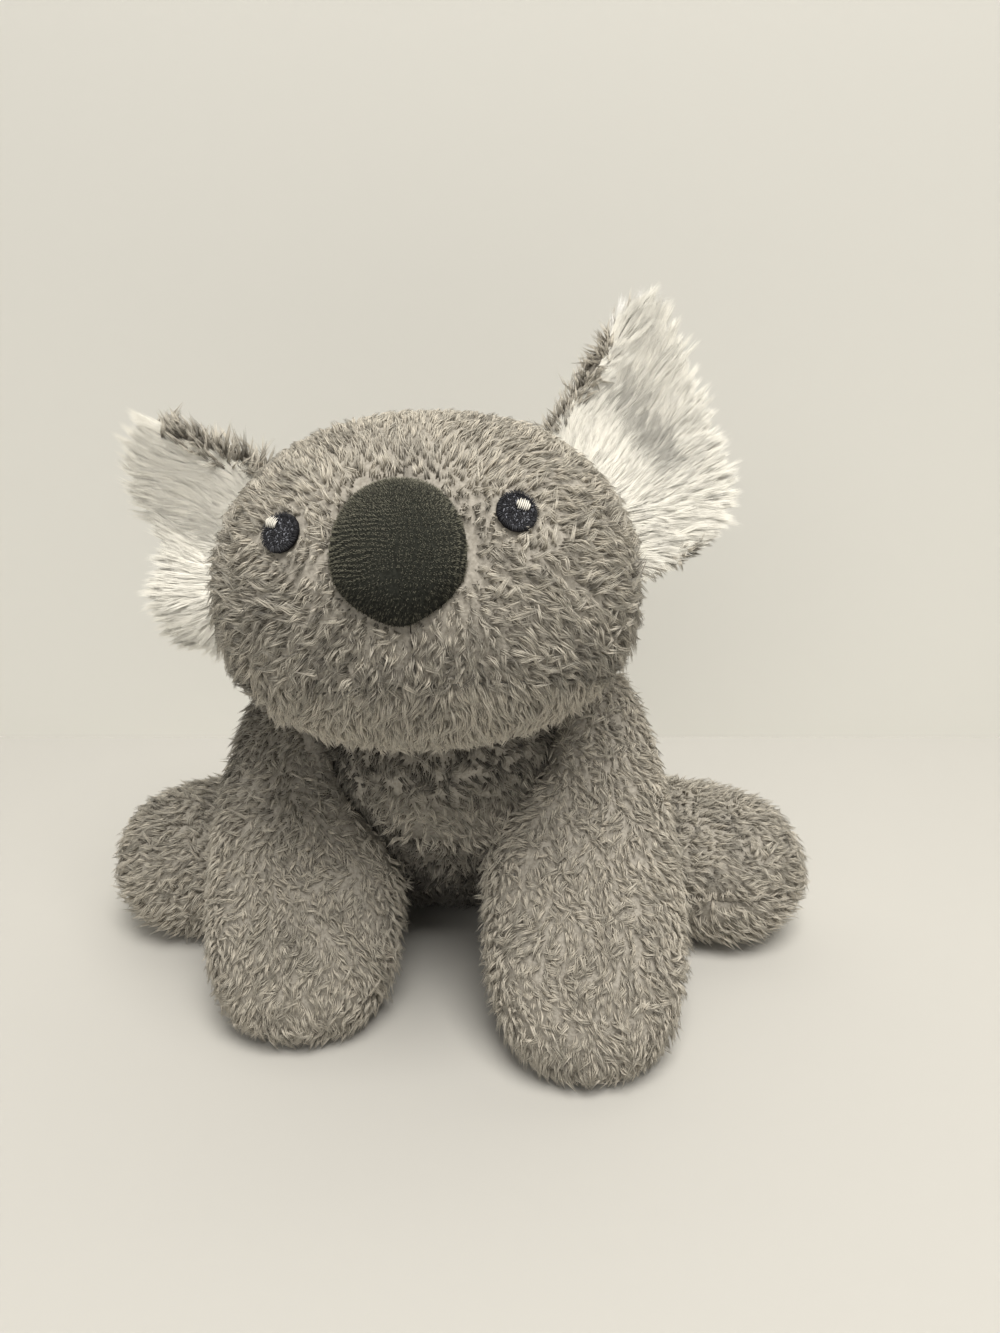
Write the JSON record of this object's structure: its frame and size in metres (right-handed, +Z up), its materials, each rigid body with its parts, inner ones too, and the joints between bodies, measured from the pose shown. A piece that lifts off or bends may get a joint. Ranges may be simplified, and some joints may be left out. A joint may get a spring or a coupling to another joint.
{
  "type": "plush koala",
  "caption": "Plush koala standing on its front paws with its hind legs spread, shaggy grey fur, cream ears, a dark napped nose and stitched eyes.",
  "frame": {"origin": "on the surface that the toy rests on, under the middle of its bounding box", "axes": "+Z up, the koala faces -Y, and its own left side is +X"},
  "size_m": [0.2499, 0.1599, 0.2202],
  "materials": {
    "fur_grey": "long shaggy pile",
    "fur_cream": "long silky pile",
    "nap_charcoal": "short ribbed nap",
    "thread_black": "satin embroidery",
    "thread_cream": "satin embroidery",
    "fibre_white": "loose fibre filling"
  },
  "bodies": {
    "torso": {"torso_back_panel": "fur_grey", "torso_belly_panel": "fur_grey", "torso_stuffing": "fibre_white"},
    "neck": {"neck_stuffing": "fibre_white"},
    "head": {"eye_glint_left": "thread_cream", "eye_glint_right": "thread_cream", "eye_left": "thread_black", "eye_right": "thread_black", "head_back_panel": "fur_grey", "head_chin_panel": "fur_grey", "head_face_left": "fur_grey", "head_face_right": "fur_grey", "head_stuffing": "fibre_white", "nose_cover": "nap_charcoal", "nose_stuffing": "fibre_white"},
    "arm_left": {"arm_left_stuffing": "fibre_white", "arm_left_under_panel": "fur_grey", "arm_left_upper_panel": "fur_grey"},
    "arm_right": {"arm_right_stuffing": "fibre_white", "arm_right_under_panel": "fur_grey", "arm_right_upper_panel": "fur_grey"},
    "leg_left": {"leg_left_sole_panel": "fur_grey", "leg_left_stuffing": "fibre_white", "leg_left_top_panel": "fur_grey"},
    "leg_right": {"leg_right_sole_panel": "fur_grey", "leg_right_stuffing": "fibre_white", "leg_right_top_panel": "fur_grey"},
    "ear_left": {"ear_left_back": "fur_grey", "ear_left_inner": "fur_cream"},
    "ear_right": {"ear_right_back": "fur_grey", "ear_right_inner": "fur_cream"}
  },
  "joints": [
    {"name": "head_turn", "type": "hinge", "parent": "torso", "child": "neck", "pos_m": [-0.0029, -0.0047, 0.105], "axis": [0, 0, 1], "range_deg": [-12, 12]},
    {"name": "head_nod", "type": "hinge", "parent": "neck", "child": "head", "pos_m": [-0.0029, -0.0047, 0.105], "axis": [1, 0, 0], "range_deg": [-8, 10]},
    {"name": "arm_left_swing", "type": "hinge", "parent": "torso", "child": "arm_left", "pos_m": [0.0391, 0.0033, 0.086], "axis": [-1, 0, 0], "range_deg": [-6, 20]},
    {"name": "arm_right_swing", "type": "hinge", "parent": "torso", "child": "arm_right", "pos_m": [-0.0409, 0.0033, 0.086], "axis": [-1, 0, 0], "range_deg": [-6, 20]},
    {"name": "leg_left_swing", "type": "hinge", "parent": "torso", "child": "leg_left", "pos_m": [0.0491, 0.0423, 0.026], "axis": [0, 0, 1], "range_deg": [-4, 12]},
    {"name": "leg_right_swing", "type": "hinge", "parent": "torso", "child": "leg_right", "pos_m": [-0.0509, 0.0423, 0.026], "axis": [0, 0, -1], "range_deg": [-4, 12]},
    {"name": "ear_left_fold", "type": "hinge", "parent": "head", "child": "ear_left", "pos_m": [0.04107, -0.01027, 0.16414], "axis": [-0.5746, 0.3503, 0.7397], "range_deg": [-20, 20]},
    {"name": "ear_right_fold", "type": "hinge", "parent": "head", "child": "ear_right", "pos_m": [-0.05558, -0.01149, 0.14976], "axis": [0.2872, 0.3622, 0.8867], "range_deg": [-20, 20]}
  ]
}
